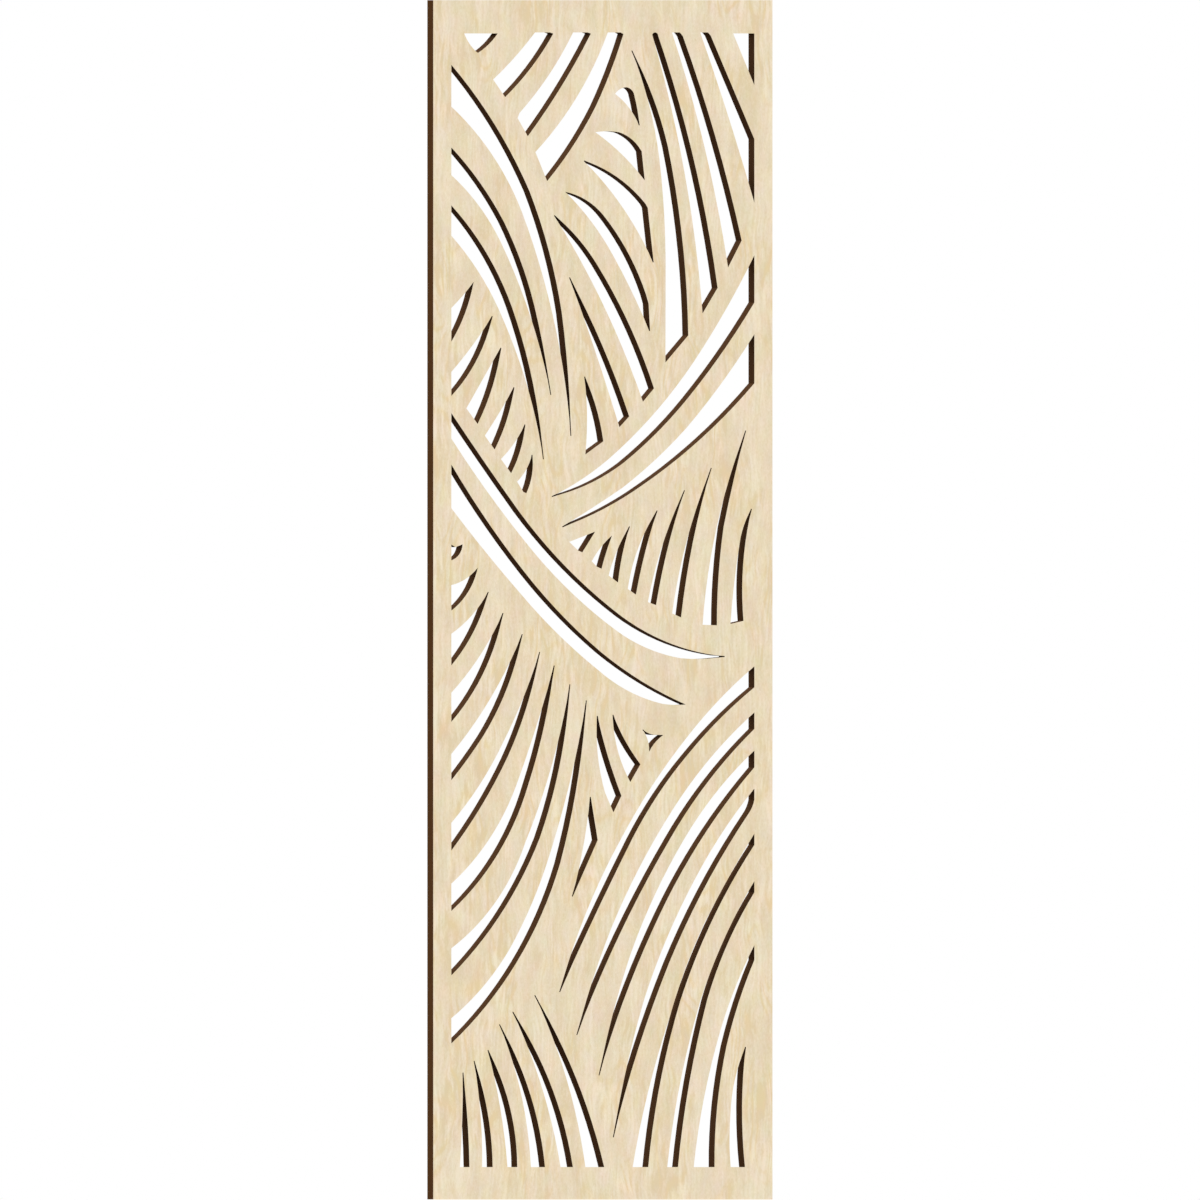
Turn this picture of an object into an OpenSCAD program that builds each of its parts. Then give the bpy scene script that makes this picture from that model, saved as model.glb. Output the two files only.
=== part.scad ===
// Fretwork wall panel, in mm, upright, with its face towards -Y and its left side at -X.
// Five plies of hardwood are glued face to face into one sheet, and the pattern is cut through all of them.
// The origin is the centre of the back face, the side that lies against the wall.

/* [Panel] */
// Overall width of the sheet
panel_w = 187.3; // [150:0.1:260]
// Overall height of the sheet
panel_h = 593.7; // [450:0.1:800]
// Uncut border at the left and the right of the pattern
side_border = 10; // [6:0.5:25]
// Uncut border above and below the pattern
end_border = 16; // [8:0.5:40]

/* [Plies] */
// Thickness of the face veneer and of the back veneer
veneer_t = 0.6; // [0.4:0.1:1.5]
// Thickness of each crossband
crossband_t = 1.5; // [1:0.1:4]
// Thickness of the core ply
core_t = 2.4; // [1:0.1:8]

/* [Cuts] */
// Width of a cut at its pointed ends, which is as narrow as the cutter's own path
tip_w = 0.5; // [0.2:0.05:1]

/* [Hidden] */
// Size of the window in this panel, which the cuts are spread over
window_w = panel_w - 2 * side_border;
window_h = panel_h - 2 * end_border;
// Mark of a point that an arc passes through on its way from one corner to the next
arc = true;
// Most that the short straight steps of an arc may stray from the true arc
arc_error = 0.03;
// A corner sharper than this many degrees is a pointed end
tip_angle = 25;

// Each cut is a closed outline in mm from the lower left corner of the drawn window.
// A pair is a corner, and a pair marked arc is a point on the arc between the corners beside it.

// Broad strokes that fall from the top side to the lower left
upper_left_strokes = [
    [[7.1, 561.2], [25.6, 561.2], [20.5, 555.7, arc], [14.7, 551.6], [13.7, 552.2], [9.8, 556.4, arc]],
    [[46.2, 561.7], [54.5, 561.7], [56.3, 561.1], [44.4, 544.7, arc], [29.7, 529.7], [23.1, 538.4],
        [35.2, 549.6, arc]],
    [[67.2, 561.7], [75.3, 561.7], [77, 561.1], [61.3, 535.8, arc], [42.2, 510.3], [36.6, 519.3],
        [37.6, 521.8], [53.8, 540.6, arc]],
    [[86.4, 561.7], [93.5, 561.7], [95, 560.9], [88, 542.6, arc], [79.6, 524.9], [67.5, 506, arc],
        [52.9, 488.1], [46.4, 502.5], [69.6, 530.2, arc]]
];

// Long strokes that fall from the top side to the lower right
upper_right_strokes = [
    [[99.4, 553.2], [111.5, 529.2, arc], [119.6, 505], [127.6, 458.6, arc], [130.8, 411.7], [118.2, 398.3],
        [118.3, 440], [117.3, 474.6, arc], [114.8, 499.7], [109.2, 525.8, arc]],
    [[110.9, 560.6], [112.2, 561.7, arc], [114.2, 560], [133.9, 498.6, arc], [147, 435.2],
        [138.7, 422.6], [128.7, 492.5, arc]],
    [[121.8, 561.7], [126.2, 561.7], [127.8, 559.9], [145.8, 510, arc], [160.3, 458.7], [152.8, 445.4],
        [139.9, 504.5, arc]],
    [[137.4, 561.7], [141.7, 561.7], [143.2, 560.1], [167.3, 508.9], [167.3, 477.4], [152.9, 520.2, arc]],
    [[155.6, 561.2], [167.3, 561.2], [167.3, 535.6]]
];

// Leaves between the two upper fans
upper_leaves = [
    [[90.4, 531.3], [93.1, 533.6, arc], [96.6, 534.6], [99.6, 533.2, arc], [101.1, 530.2],
        [102.8, 523.1, arc], [103.9, 515.2], [97.9, 524.7, arc]],
    [[79.5, 512.3], [86.3, 512.8, arc], [92.6, 512.3], [98.5, 509.6, arc], [103.3, 505.3], [105.1, 502.8],
        [106.8, 488.4], [94.1, 501.4, arc]],
    [[72.8, 498.4], [91.5, 490.1, arc], [107.2, 476.9], [108.4, 475], [111.6, 447.4], [94.7, 474.9, arc]],
    [[62.9, 482.8], [74.1, 478.9, arc], [83.6, 471.6], [97.4, 452.9, arc], [107.4, 432.2], [108.9, 427.5],
        [109.6, 413.4], [100, 432.7, arc], [89.6, 450.8], [77.5, 467.8, arc]],
    [[56.5, 471.5], [69.9, 459.8, arc], [80.9, 446.1], [98.2, 417, arc], [111.9, 385.5],
        [105.8, 378.9], [83.9, 426.8, arc]],
    [[65, 440.9], [83.5, 406.4, arc], [98.2, 371.6], [92.8, 366.3], [79.7, 403.2, arc]],
    [[73.4, 391.8], [80, 375.9, arc], [83.9, 359.3], [74, 352.8], [74.9, 372.3, arc]]
];

// Long blades that fall from the left side and end in a point
left_blades = [
    [[0, 545.7], [24.1, 515.9, arc], [43.2, 483], [53.8, 453.7, arc], [60.9, 423.4], [64.4, 392.5, arc],
        [66, 361.5], [56.8, 418.4, arc], [38.8, 473.2], [22.5, 501.2, arc], [0, 525]],
    [[0, 504.8], [15.9, 487.2, arc], [29, 468], [38.7, 447.5, arc], [45.9, 426.1], [51.1, 404.1, arc],
        [55, 381.8], [43.8, 420.7, arc], [27.3, 457.9], [15.3, 475.8, arc], [0, 491.1]],
    [[0, 476.1], [19.4, 452.5, arc], [33.4, 425.8], [44.9, 388.7, arc], [50.9, 349.9], [42.2, 385.6, arc],
        [28.8, 419.2], [16.5, 441, arc], [0, 461.1]]
];

// Small leaves at the left, under the blades
left_leaves = [
    [[0, 425.3], [6.1, 431.2, arc], [12.3, 438.2], [7.6, 422.8, arc], [0, 408.6]],
    [[0, 393.6], [12.1, 407.3, arc], [22.8, 421.7], [14.3, 400.1, arc], [0, 381.8]],
    [[8.3, 375.6], [18, 390.9, arc], [27.6, 406.1], [22.7, 386.4, arc], [14.5, 367.9]],
    [[18.5, 362.1], [27.2, 374.5, arc], [34.8, 386.5], [30.8, 370.5, arc], [23.9, 355.2]],
    [[27.4, 350.5], [34.8, 358.5, arc], [40.8, 368.1], [38.2, 355.2, arc], [33, 343.5]],
    [[36.3, 339.3], [41.5, 345.6, arc], [44.6, 353.1], [44.6, 343.2, arc], [41.4, 333.6], [39.8, 334.2]]
];

// Two sweeps that cross the panel from the left side to a point at the lower right
falling_sweeps = [
    [[0, 373.3], [18.5, 348.7, arc], [37.5, 324.4], [63.9, 296.5, arc], [94, 272.6],
        [121, 259.2, arc], [151.4, 252.8], [138.7, 251.6, arc], [126.9, 251.9], [108.5, 256.7, arc],
        [91.4, 265.4], [67.1, 283.7, arc], [45.1, 304.8], [21.8, 331.9, arc], [0, 360.7]],
    [[0, 347.8], [19.4, 320.3, arc], [40.6, 294.3], [60.7, 273.5, arc], [82.8, 254.8], [105.4, 240.3, arc],
        [129.4, 229], [122.9, 228.8, arc], [116.3, 229.4], [97.9, 235.6, arc], [81.4, 245.8],
        [58.9, 263.8, arc], [38.2, 283.9], [18.9, 304.5, arc], [0, 326.2]]
];

// Two sweeps that rise from a point at the left to the right side
rising_sweeps = [
    [[167.3, 451.4], [151.4, 424.3, arc], [133.8, 398.6], [111.9, 373, arc], [86.7, 350.4],
        [71.7, 340.3, arc], [55, 331.8], [76.1, 338.3, arc], [95, 348.6], [113.7, 363.8, arc],
        [130.6, 380.7], [149.7, 403.5, arc], [167.3, 428]],
    [[167.3, 412.3], [149.6, 388.6, arc], [130.2, 366.3], [113, 350.5, arc], [94.5, 336.3],
        [78.1, 326.5, arc], [60.8, 316.7], [84, 325.8, arc], [105.3, 337.5], [137.8, 360.6, arc],
        [167.3, 388]]
];

// Fan of upright strokes at the right, under the rising sweeps
right_fan = [
    [[65.1, 309.5], [79.4, 314.6], [72.3, 304.3], [70.1, 305.2]],
    [[77.5, 299.9], [82, 306.2, arc], [88.7, 312.7], [85.5, 304.4, arc], [82.9, 296.2], [80.4, 297.2]],
    [[86.8, 292.9], [91.4, 305.1, arc], [98.6, 317.6], [94.5, 303.6, arc], [92, 289.4]],
    [[97.4, 286.2], [103, 306.1, arc], [113.9, 325.5], [107, 304.5, arc], [101.9, 283.4]],
    [[108.5, 279.7], [116.4, 307.6, arc], [128.9, 335.5], [119.5, 306.6, arc], [113, 278.2]],
    [[121.9, 274.1], [130, 310.2, arc], [143.7, 346.6], [133.3, 309.2, arc], [126.8, 272.1]],
    [[138.7, 268.5], [146.5, 316.9, arc], [162.7, 365.1], [156, 340.7, arc], [150.3, 316.9],
        [147.5, 292.6, arc], [146.6, 268.2]],
    [[154.1, 268.9], [156.4, 291, arc], [159.7, 311.8], [162.3, 319.6, arc], [165.9, 326.3],
        [161.1, 298.4, arc], [161.3, 270.4]]
];

// Fan of strokes that fall to the left side
lower_left_fan = [
    [[0, 308.2], [2.3, 306.9], [6.2, 308.3], [4.5, 303.5, arc], [0, 300.4]],
    [[0, 288.1], [7.8, 291.1, arc], [14.6, 296.8], [9.2, 284.6, arc], [0, 275.5]],
    [[0, 264], [11.3, 273.1, arc], [20.6, 285.2], [12.4, 265.3, arc], [0, 248.4]],
    [[0, 234.8], [16, 253.5, arc], [28.7, 274.8], [18.1, 245.4, arc], [0, 220.4]],
    [[0, 204.5], [21.7, 232.2, arc], [39.3, 264.3], [30.8, 237.3, arc], [17.8, 213.7], [9.4, 202.6, arc],
        [0, 191.5]],
    [[0, 170.4], [16, 189.8, arc], [28.6, 210.3], [39.5, 231.8, arc], [48.9, 255.5], [41.5, 227.7, arc],
        [30.8, 202.6], [16.8, 179.1, arc], [0, 156.7]],
    [[0, 140.3], [21.1, 162.6, arc], [35.7, 188.6], [46.7, 217.6, arc], [56.9, 248.8], [51.1, 217.9, arc],
        [42.5, 189.5], [25.8, 155.2, arc], [0, 126.8]],
    [[0, 108.3], [24.7, 131.6, arc], [40.9, 160.9], [55.4, 198.8, arc], [65.5, 239.5], [60, 199.9, arc],
        [48.8, 162.9], [28.1, 126.4, arc], [0, 94.9]],
    [[0, 73.7], [17.6, 89.4, arc], [31.9, 107.5], [43.1, 127.7, arc], [52.2, 148.9], [65.1, 189.4, arc],
        [74.6, 231.5], [69.5, 190.1, arc], [60, 150.2], [36.2, 101.6, arc], [0, 61.2]]
];

// Small leaves in the middle of the lower half
lower_leaves = [
    [[80.5, 223.9], [86.4, 203.4, arc], [93.9, 183.8], [89.5, 175.6], [84.8, 185.5], [80.8, 204.4, arc]],
    [[89.1, 224.4], [95.9, 211.2, arc], [104.4, 199.4], [98.8, 190.6], [91.6, 207.2, arc]],
    [[105.3, 216.9], [108.6, 214.9, arc], [112, 214], [117, 213.9], [112.5, 210.2, arc], [109.2, 205.6],
        [108.4, 211.5, arc]],
    [[76.7, 183.8], [80.8, 161.9], [66.6, 133.5], [72.8, 158.5, arc]]
];

// Fan of strokes that fall from the right side to the lower left
lower_right_fan = [
    [[167.3, 247.9], [147.7, 231.2, arc], [130.1, 212.8], [110.6, 188.4, arc], [93.5, 162.2],
        [74.3, 125.7, arc], [59.6, 86.2], [79.5, 125, arc], [99.9, 162.6], [114, 184.3, arc],
        [130.5, 204.2], [148, 221.7, arc], [167.3, 237.5]],
    [[167.3, 225.1], [142.9, 202.4, arc], [121.8, 176.4], [103.8, 148.3, arc], [88.5, 118.7],
        [77.9, 92.3, arc], [69.1, 64.9], [92.9, 115.2, arc], [120.9, 162.7], [142.3, 191.5, arc],
        [167.3, 216.9]],
    [[167.3, 206.2], [146.5, 185.9, arc], [128.9, 162.9], [112.5, 135.1, arc], [99.1, 105.8], [89.2, 76, arc],
        [81.4, 44.9], [96.7, 86.4, arc], [115.4, 125.7], [138.9, 163.6, arc], [167.3, 197.9]],
    [[167.3, 187.4], [149.7, 165.8, arc], [134.4, 142.4], [119.1, 113.6, arc], [106.6, 83.4],
        [96.8, 49.5, arc], [89.3, 14.2], [103.3, 58.9, arc], [120.4, 101.5], [140.6, 139.8, arc],
        [164.7, 175.8], [166.2, 178.5, arc], [167.3, 181.9]],
    [[167.3, 165.1], [152.9, 143.1, arc], [139.6, 120.5], [128.9, 97.4, arc], [120.3, 73.5],
        [108.6, 37.2, arc], [100.1, 0], [108.7, 0], [115.3, 41.8, arc], [126.5, 82.6], [144.3, 122.7, arc],
        [167.3, 159.5]],
    [[167.3, 141.6], [150.5, 112.7, arc], [137.5, 82.4], [126.3, 41.6, arc], [119.2, 0], [125.1, 0],
        [131.4, 41.9, arc], [141.3, 83], [152.5, 110.6, arc], [167.3, 136]],
    [[167.3, 109.9], [155.5, 86.1, arc], [146.6, 61.4], [138.8, 31, arc], [133.8, 0], [145.3, 0],
        [146.8, 30.3, arc], [152, 60.3], [158.8, 82, arc], [167.3, 102.5]],
    [[162.6, 60], [156.5, 43.2, arc], [154.1, 26.3], [153.6, 13, arc], [154.2, 0], [162.1, 0],
        [160.5, 29.8, arc]]
];

// Strokes that rise from the bottom side to the upper left
bottom_strokes = [
    [[4.7, 0], [6, 23.4, arc], [6.4, 47.3], [8.9, 23.4, arc], [10, 0]],
    [[17, 0], [16.1, 26.3, arc], [12.4, 53.1], [20.1, 26.6, arc], [22.8, 0]],
    [[31, 0], [27, 29.2, arc], [20, 58.4], [32.2, 30.1, arc], [36.4, 0]],
    [[43.9, 0], [38.6, 35.8, arc], [26.3, 71.1], [43.4, 36.5, arc], [51.7, 0]],
    [[60.3, 0], [50, 39.4, arc], [33.6, 77.3], [55.1, 40.3, arc], [67.1, 0]],
    [[74, 0], [63.6, 43.6, arc], [45.8, 85.5], [68.9, 43.9, arc], [84.4, 0]]
];

cuts = concat(
    upper_left_strokes, upper_right_strokes, upper_leaves, left_blades, left_leaves, falling_sweeps,
    rising_sweeps, right_fan, lower_left_fan, lower_leaves, lower_right_fan, bottom_strokes
);

// Size of the drawn window, which the widest and the highest cuts fill
drawn_w = max([for (outline = cuts) for (p = outline) p[0]]);
drawn_h = max([for (outline = cuts) for (p = outline) p[1]]);

// Wood tones of the preview
maple = [0.93, 0.86, 0.73];
birch = [0.8, 0.66, 0.48];
poplar = [0.72, 0.62, 0.44];

// A drawn point, set in this panel's window, with the middle of the panel as its origin
function placed(p) = [p[0] * window_w / drawn_w - window_w / 2, p[1] * window_h / drawn_h - window_h / 2];

// Neighbour of item i in a closed list
function next_of(list, i, step) = list[(i + step + len(list)) % len(list)];

// Distance of m from the straight line through p and q, above zero at its left
function rise(p, m, q) = cross(q - p, m - p) / norm(q - p);

// Centre of the circle through three points
function circle_centre(a, b, c) =
    let (d = 2 * (cross(a, b) + cross(b, c) + cross(c, a)))
    [
        (a * a * (b[1] - c[1]) + b * b * (c[1] - a[1]) + c * c * (a[1] - b[1])) / d,
        (a * a * (c[0] - b[0]) + b * b * (a[0] - c[0]) + c * c * (b[0] - a[0])) / d
    ];

// Points on the arc from p through m to q, which is less than half a circle, without p and q
function arc_points(p, m, q) =
    abs(rise(p, m, q)) < arc_error ? [] :
    let (
        centre = circle_centre(p, m, q),
        radius = norm(m - centre),
        start = atan2(p[1] - centre[1], p[0] - centre[0]),
        sweep = -sign(rise(p, m, q)) * 2 * asin(norm(q - p) / 2 / radius),
        steps = ceil(abs(sweep) / (2 * acos(1 - arc_error / radius)))
    )
    [
        for (i = [1 : 1 : steps - 1])
            let (angle = start + sweep * i / steps)
            centre + radius * [cos(angle), sin(angle)]
    ];

// A whole outline as plain points
function outline_points(outline) = [
    for (i = [0 : len(outline) - 1])
        each len(outline[i]) == 2 ? [placed(outline[i])]
            : arc_points(placed(next_of(outline, i, -1)), placed(outline[i]), placed(next_of(outline, i, 1)))
];

// Direction from item i of a closed list of points to the neighbour step items on
function way(list, i, step) = let (d = next_of(list, i, step) - list[i]) d / norm(d);

// The two ends of the short flat that a pointed end at p gets, between sides that run off along a and b
function tip_points(p, a, b) =
    let (start = p + tip_w * (a + b) / norm(a + b), half = tip_w / 2 * (a - b) / norm(a - b))
    [start + half, start - half];

// A closed list of points whose pointed ends are squared off, apart from those at the window's sides
function squared(list) = [
    for (i = [0 : len(list) - 1])
        let (p = list[i], a = way(list, i, -1), b = way(list, i, 1))
        each a * b > cos(tip_angle) && abs(p[0]) < window_w / 2 - tip_w ? tip_points(p, a, b) : [p]
];

// One ply of the sheet with all the cuts through it, from depth to depth + t behind the face
module ply(depth, t, tone) {
    back = 2 * veneer_t + 2 * crossband_t + core_t;
    color(tone)
        translate([0, depth + t - back, 0])
            rotate([90, 0, 0])
                linear_extrude(t)
                    difference() {
                        square([panel_w, panel_h], center = true);
                        for (outline = cuts)
                            polygon(squared(outline_points(outline)));
                    }
}

module face_veneer() {
    ply(0, veneer_t, maple);
}

module front_crossband() {
    ply(veneer_t, crossband_t, birch);
}

module core_ply() {
    ply(veneer_t + crossband_t, core_t, poplar);
}

module back_crossband() {
    ply(veneer_t + crossband_t + core_t, crossband_t, birch);
}

module back_veneer() {
    ply(veneer_t + 2 * crossband_t + core_t, veneer_t, maple);
}

face_veneer();
front_crossband();
core_ply();
back_crossband();
back_veneer();
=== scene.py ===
"""Looks of the fretwork wall panel: maple faces, charred walls in the cuts, and the photograph's own view."""

import math

import bpy
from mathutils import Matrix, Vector


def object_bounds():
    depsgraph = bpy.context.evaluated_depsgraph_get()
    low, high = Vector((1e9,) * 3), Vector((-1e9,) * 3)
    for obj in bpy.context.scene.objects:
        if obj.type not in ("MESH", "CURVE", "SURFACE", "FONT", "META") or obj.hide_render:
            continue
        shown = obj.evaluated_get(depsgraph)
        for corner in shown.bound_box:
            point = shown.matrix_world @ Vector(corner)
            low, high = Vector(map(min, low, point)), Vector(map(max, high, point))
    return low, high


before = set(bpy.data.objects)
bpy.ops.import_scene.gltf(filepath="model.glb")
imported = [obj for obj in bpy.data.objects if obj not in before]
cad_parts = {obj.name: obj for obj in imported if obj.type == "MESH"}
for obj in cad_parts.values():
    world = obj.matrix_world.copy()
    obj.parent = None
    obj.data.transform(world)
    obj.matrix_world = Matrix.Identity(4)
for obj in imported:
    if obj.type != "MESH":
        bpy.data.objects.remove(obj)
cad_low, cad_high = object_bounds()

# The photograph's view
TURN = math.radians(-26.28)  # the camera stands this far round to the left of the panel's face
VIEW_SIZE = 0.59406  # metres across the square picture
AIM_ACROSS = 0.001506  # the middle of the picture, along the camera's right-hand direction
AIM_UP = -0.000116  # the same, above the middle of the panel
CAMERA_AWAY = 2.5
CAMERA_REACH = (0.1, 20)  # the nearest and the farthest that the camera sees

# Way from the panel to each lamp, as long as the lamp's share of the plain light
KEY_WAY = Vector((-0.055, -0.78, 0.34))
BACK_WAY = Vector((-0.015, 0.79, 0.51))
KEY_SPREAD = math.radians(19)  # how wide each lamp looks from the panel
BACK_SPREAD = math.radians(91)
LAMP_AWAY = 2
SKY_SHARE = 0.215  # the white surround's share of the plain light

# Tints that the maple drifts between, as linear light
PEACH_TINT = (1.072, 1.028, 0.925, 1)
STRAW_TINT = (0.928, 0.972, 1.075, 1)
MAUVE_TINT = (1.03, 0.96, 1.03, 1)
OLIVE_TINT = (0.97, 1.04, 0.97, 1)
WHITE = (1, 1, 1, 1)

# Colours as they look, 0 to 255
MAPLE_DARK = (225, 206, 171)
MAPLE_LIGHT = (242, 227, 201)
FLOOR_DARK = (236, 235, 233)
FLOOR_LIGHT = (239, 238, 236)

# The maple's finest lines, in radians of their wave
RING_LINES = 72.0  # over one unit of the figure's noise
HAIR_LINES = 2700.0  # over one metre across the grain
HAIR_BEND = 30.0  # over one unit of the figure's noise

# Surfaces
SHINE = 0.03  # specular level of bare wood and of char
FACE_ROUGHNESS = 0.65
WALL_ROUGHNESS = 1.0
RELIEF = 0.0001  # how high the grain and the char stand, in metres
RELIEF_SHARE = 0.12  # how much of that shows
EDGE_DEPTH = 0.0004  # a wall that lies this near to the sheet's bounds is its outer edge, which is painted a lighter brown as painted light

FLOOR_SIZE = 12.0
FLOOR_GAP = 0.0002  # below the panel, so that the two never share a plane

# Tone of the cut walls, tone of the outer edge (char painted lighter, as painted light for the open edge's
# fuller light) and seed of each ply, front to back
PLIES = {
    "face_veneer": ((90, 61, 36), (105, 68, 38), 11.0),
    "front_crossband": ((95, 65, 38), (110, 72, 39), 23.0),
    "core_ply": ((92, 62, 37), (108, 71, 39), 37.0),
    "back_crossband": ((96, 65, 39), (110, 73, 39), 41.0),
    "back_veneer": ((91, 61, 37), (106, 70, 39), 53.0),
}
EDGE_SEED_STEP = 5


def linear(tone):
    """A colour of 0 to 255 as linear light, with an alpha of 1."""
    out = []
    for part in tone:
        v = part / 255
        out.append(v / 12.92 if v <= 0.04045 else ((v + 0.055) / 1.055) ** 2.4)
    return (*out, 1.0)


class Graph:
    """The nodes of a material or a world. Every method makes one node, and most give its output back."""

    def __init__(self, owner):
        owner.use_nodes = True
        self.tree = owner.node_tree
        self.tree.nodes.clear()

    def add(self, kind, inputs, **settings):
        """A node of a kind, with its inputs linked or set. Gives the node itself back."""
        made = self.tree.nodes.new(kind)
        for key, value in settings.items():
            setattr(made, key, value)
        for key, value in inputs.items():
            socket = made.inputs[key]
            if isinstance(value, bpy.types.NodeSocket):
                self.tree.links.new(value, socket)
            else:
                socket.default_value = value
        return made

    def math(self, operation, a, b=0.0, c=0.0):
        return self.add("ShaderNodeMath", {0: a, 1: b, 2: c}, operation=operation).outputs[0]

    def mix(self, share, a, b, blend="MIX"):
        inputs = {0: share, 6: a, 7: b}
        made = self.add("ShaderNodeMix", inputs, data_type="RGBA", blend_type=blend, clamp_factor=True)
        return made.outputs[2]

    def moved(self, place, scale, shift=(0, 0, 0)):
        """The place times scale, plus shift."""
        inputs = {0: place, 1: scale, 2: shift}
        return self.add("ShaderNodeVectorMath", inputs, operation="MULTIPLY_ADD").outputs[0]

    def noise(self, place, detail=2.0, rough=0.5):
        """Noise about zero, one unit of place to a blotch."""
        inputs = {"Vector": place, "Scale": 1.0, "Detail": detail, "Roughness": rough, "Distortion": 0.0}
        return self.math("SUBTRACT", self.add("ShaderNodeTexNoise", inputs).outputs[0], 0.5)

    def ramp(self, signal, low, high, start, end):
        """The signal from low to high, as a share from start to end."""
        return self.add("ShaderNodeMapRange", {0: signal, 1: low, 2: high, 3: start, 4: end}).outputs[0]

    def total(self, *pairs):
        """Sum of signals, each times its gain."""
        out = 0.0
        for signal, gain in pairs:
            out = self.math("MULTIPLY_ADD", signal, gain, out)
        return out

    def split(self, vector):
        """The three parts of a vector."""
        return self.add("ShaderNodeSeparateXYZ", {0: vector}).outputs

    def closed(self, shader, kind="ShaderNodeOutputMaterial"):
        """Joins a shader to the output node."""
        self.add(kind, {"Surface": shader.outputs[0]})


def maple_face(g, place, seed):
    """Colour and height of a bare maple veneer, whose grain runs up the panel.

    The scale of each noise is in blotches per metre across, through and up the sheet.
    """
    drift = g.noise(g.moved(place, (20, 30, 8), (seed, 3.1, 1.7)), 1.0)
    wander = g.noise(g.moved(place, (75, 30, 42), (seed, 8.3, 5.2)), 1.0)
    parts = g.split(place)
    across = g.total((drift, 0.006), (wander, 0.007), (parts[0], 1.0))
    bent = g.add("ShaderNodeCombineXYZ", {0: across, 1: parts[1], 2: parts[2]}).outputs[0]
    fibre = g.noise(g.moved(bent, (700, 30, 105), (seed, 0.4, 2.9)), 2.0, 0.6)
    streak = g.noise(g.moved(bent, (300, 30, 50), (seed, 5.3, 8.1)), 2.0, 0.55)
    band = g.noise(g.moved(bent, (120, 30, 16), (seed, 6.8, 3.7)), 1.0)
    speck = g.noise(g.moved(place, (1300, 30, 800), (seed, 7.7, 4.6)), 1.0)
    cloud = g.noise(g.moved(place, (80, 30, 32), (seed, 1.2, 6.4)), 2.0)
    warmth = g.noise(g.moved(bent, (200, 30, 110), (seed, 9.5, 0.3)), 2.0, 0.6)
    bloom = g.noise(g.moved(place, (150, 30, 90), (seed, 3.8, 7.4)), 2.0, 0.6)
    fine = g.noise(g.moved(bent, (3200, 30, 420), (seed, 7.3, 2.2)), 1.0)
    fleck = g.ramp(fine, 0.1, 0.26, 0.0, 1.0)

    # Patches of lively grain between patches of clear wood
    patch = g.noise(g.moved(place, (75, 30, 36), (seed, 2.6, 7.1)), 1.0)
    lively = g.ramp(patch, -0.14, 0.16, 0.4, 1.6)
    grain = g.math("MULTIPLY", g.total((fibre, 1.1), (streak, 1.25)), lively)

    # Growth rings, whose lines come and go and here and there close into arches
    figure = g.noise(g.moved(bent, (62, 30, 15), (seed, 4.4, 9.8)), 1.0)
    ring = g.math("SINE", g.math("MULTIPLY", figure, RING_LINES))
    arch = g.math("POWER", g.math("MULTIPLY_ADD", ring, 0.5, 0.5), 3.0)
    arch = g.math("MULTIPLY", arch, g.ramp(patch, -0.06, 0.14, 0.0, 1.0))
    hair = g.math("SINE", g.total((across, HAIR_LINES), (figure, HAIR_BEND)))
    hair = g.math("MULTIPLY", hair, g.ramp(cloud, -0.1, 0.1, 0.0, 1.0))

    broad = ((grain, 1.0), (speck, 0.8), (cloud, 1.1), (band, 0.7))
    shade = g.total(*broad, (arch, -0.5), (hair, 0.13), (fleck, -0.55), (0.52, 1.0))
    base = g.mix(shade, linear(MAPLE_DARK), linear(MAPLE_LIGHT))
    warm = g.mix(g.total((warmth, 0.75), (arch, 0.3), (patch, 0.2), (0.47, 1.0)), STRAW_TINT, PEACH_TINT)
    fresh = g.mix(g.total((bloom, 1.2), (0.5, 1.0)), MAUVE_TINT, OLIVE_TINT)
    colour = g.mix(1.0, g.mix(1.0, base, warm, "MULTIPLY"), fresh, "MULTIPLY")
    height = g.total((fibre, 1.0), (streak, 0.5), (fleck, -0.6))
    return colour, height


def charred_wall(g, place, tone, seed):
    """Colour and height of a ply's laser-cut wall, with the beam's fine lines through the sheet."""
    lines = g.noise(g.moved(place, (1500, 60, 1500), (seed, 2.2, 3.3)), 2.0, 0.6)
    burn = g.noise(g.moved(place, (70, 30, 70), (seed, 6.1, 1.9)), 2.0, 0.5)
    depth = g.noise(g.moved(place, (60, 1800, 60), (seed, 8.8, 7.2)), 1.0)
    light = g.total((lines, 0.25), (burn, 0.3), (depth, 0.25), (1.0, 1.0))
    colour = g.add("ShaderNodeVectorMath", {0: linear(tone)[:3], 3: light}, operation="SCALE").outputs[0]
    return colour, lines


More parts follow.
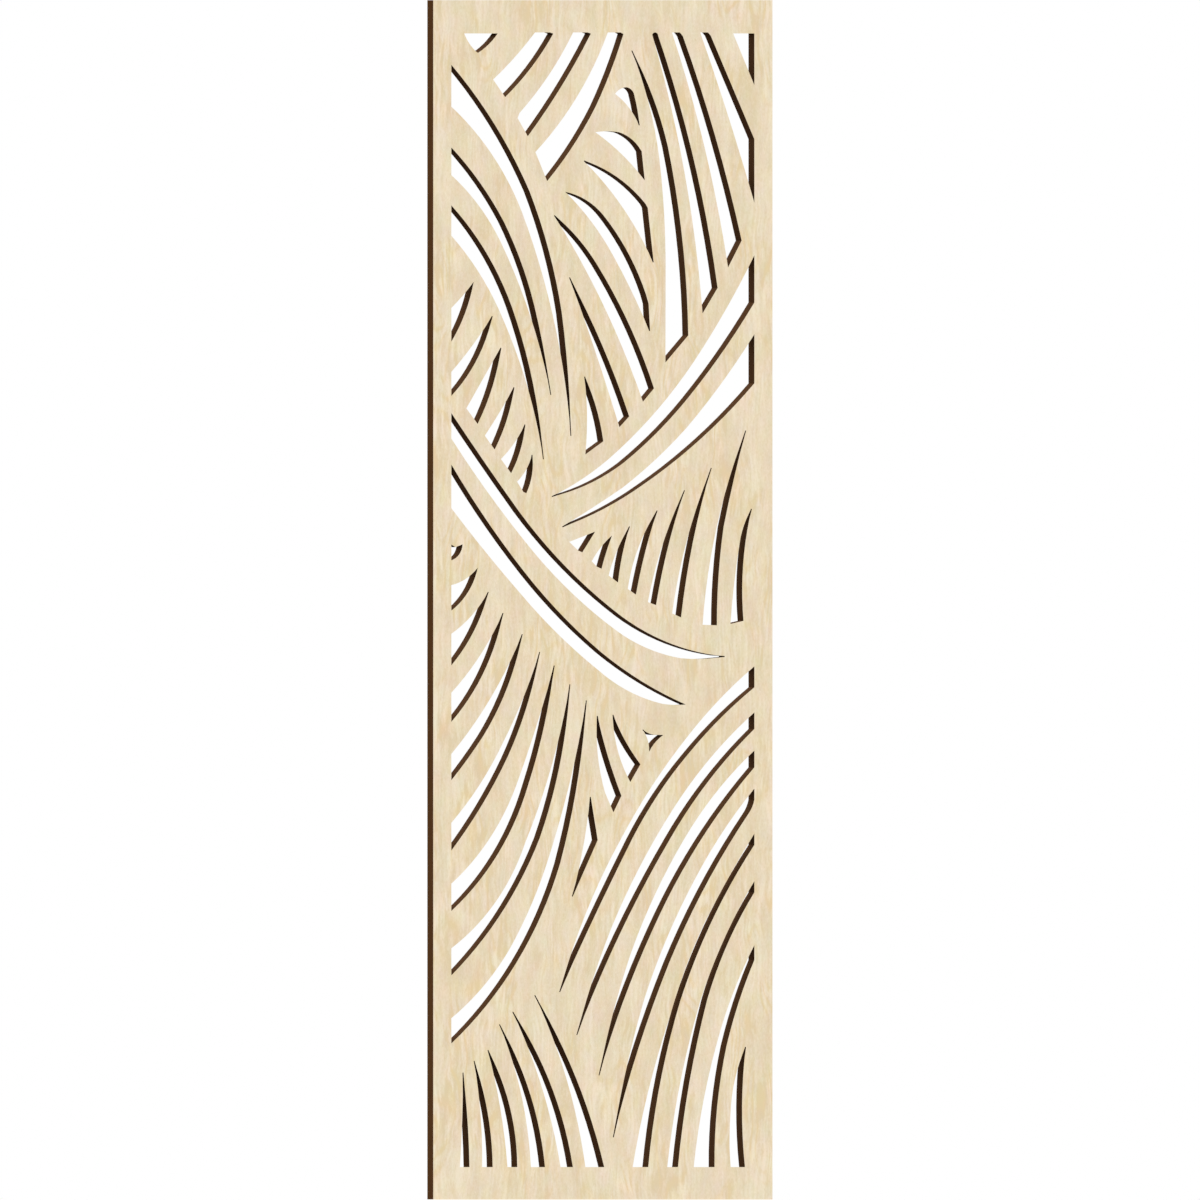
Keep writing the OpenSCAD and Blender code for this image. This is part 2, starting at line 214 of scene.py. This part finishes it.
def ply_material(name, wall_tone, painted_light_edge_tone, seed):
    """One ply's material: maple on its broad faces, char in the cuts, and char on the outer edge painted a
    lighter brown, as painted light for the open edge's fuller light.
    """
    material = bpy.data.materials.new(name)
    g = Graph(material)
    where = g.add("ShaderNodeTexCoord", {})
    place = where.outputs["Object"]
    normal = g.split(where.outputs["Normal"])
    on_face = g.math("GREATER_THAN", g.math("ABSOLUTE", normal[1]), 0.5)
    parts = g.split(place)
    at_side = g.math("GREATER_THAN", g.math("ABSOLUTE", parts[0]), cad_high.x - EDGE_DEPTH)
    at_end = g.math("GREATER_THAN", g.math("ABSOLUTE", parts[2]), cad_high.z - EDGE_DEPTH)
    painted_light_edge_mask = g.math("MAXIMUM", at_side, at_end)
    face_colour, face_height = maple_face(g, place, seed)
    wall_colour, wall_height = charred_wall(g, place, wall_tone, seed)
    # Painted light: the outer edge's char is a lighter brown than the cut walls, standing in for the fuller
    # light that the open edge gets
    painted_light_edge_colour, _ = charred_wall(g, place, painted_light_edge_tone, seed + EDGE_SEED_STEP)
    walls = g.mix(painted_light_edge_mask, wall_colour, painted_light_edge_colour)
    height = g.math("ADD", g.math("MULTIPLY", face_height, on_face), wall_height)
    bump = g.add("ShaderNodeBump", {"Strength": RELIEF_SHARE, "Distance": RELIEF, "Height": height})
    roughness = g.math("MULTIPLY_ADD", on_face, FACE_ROUGHNESS - WALL_ROUGHNESS, WALL_ROUGHNESS)
    inputs = {
        "Base Color": g.mix(on_face, walls, face_colour),
        "Roughness": roughness,
        "Specular IOR Level": SHINE,
        "Normal": bump.outputs[0],
    }
    g.closed(g.add("ShaderNodeBsdfPrincipled", inputs))
    return material


def floor_material():
    """Pale, faintly mottled paint."""
    material = bpy.data.materials.new("floor_paint")
    g = Graph(material)
    mottle = g.noise(g.moved(g.add("ShaderNodeTexCoord", {}).outputs["Object"], (40, 40, 40)), 3.0)
    share = g.math("MULTIPLY_ADD", mottle, 0.2, 0.5)
    inputs = {
        "Base Color": g.mix(share, linear(FLOOR_DARK), linear(FLOOR_LIGHT)),
        "Roughness": 0.9,
        "Specular IOR Level": 0.1,
    }
    g.closed(g.add("ShaderNodeBsdfPrincipled", inputs))
    return material


def sun(name, way, spread):
    """A sun in the direction way, whose length is about its share of the plain light, square on."""
    lamp = bpy.data.lights.new(name, "SUN")
    lamp.energy = math.pi * way.length
    lamp.angle = spread
    holder = bpy.data.objects.new(name, lamp)
    bpy.context.scene.collection.objects.link(holder)
    holder.rotation_mode = "QUATERNION"
    holder.rotation_quaternion = way.to_track_quat("Z", "Y")
    holder.location = way.normalized() * LAMP_AWAY


def white_world():
    """A world that the camera and reflections see as white, and that lights the panel a little."""
    world = bpy.data.worlds.new("white_world")
    g = Graph(world)
    path = g.add("ShaderNodeLightPath", {}).outputs
    mirrored = g.math("MAXIMUM", path["Is Glossy Ray"], path["Is Transmission Ray"])
    seen = g.math("MAXIMUM", path["Is Camera Ray"], mirrored)
    strength = g.math("MULTIPLY_ADD", seen, 1 - SKY_SHARE, SKY_SHARE)
    white = g.add("ShaderNodeBackground", {"Color": WHITE, "Strength": strength})
    g.closed(white, "ShaderNodeOutputWorld")
    return world


def photo_camera():
    """A camera without perspective, level and turned as the photograph's."""
    right = Vector((math.cos(TURN), math.sin(TURN), 0))
    back = Vector((math.sin(TURN), -math.cos(TURN), 0))
    lens = bpy.data.cameras.new("camera")
    lens.type = "ORTHO"
    lens.ortho_scale = VIEW_SIZE
    lens.clip_start, lens.clip_end = CAMERA_REACH
    camera = bpy.data.objects.new("camera", lens)
    bpy.context.scene.collection.objects.link(camera)
    camera.location = right * AIM_ACROSS + back * CAMERA_AWAY + Vector((0, 0, AIM_UP))
    camera.rotation_mode = "QUATERNION"
    camera.rotation_quaternion = back.to_track_quat("Z", "Y")
    return camera


for node_name, (wall_tone, painted_light_edge_tone, seed) in PLIES.items():
    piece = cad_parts[node_name]
    made = ply_material(node_name + "_wood", wall_tone, painted_light_edge_tone, seed)
    if not piece.material_slots:
        piece.data.materials.append(made)
    for slot in piece.material_slots:
        slot.material = made

# The floor that the panel stands on. It takes the panel's shadow, but neither shades nor lights the panel.
bpy.ops.mesh.primitive_plane_add(size=FLOOR_SIZE, location=(0, 0, cad_low.z - FLOOR_GAP))
floor = bpy.context.object
floor.name = "floor"
floor.data.materials.append(floor_material())
floor.visible_diffuse = False
floor.visible_shadow = False

sun("key_light", KEY_WAY, KEY_SPREAD)
sun("back_light", BACK_WAY, BACK_SPREAD)
bpy.context.scene.world = white_world()
bpy.context.scene.camera = photo_camera()
bpy.context.scene.view_settings.view_transform = "Standard"
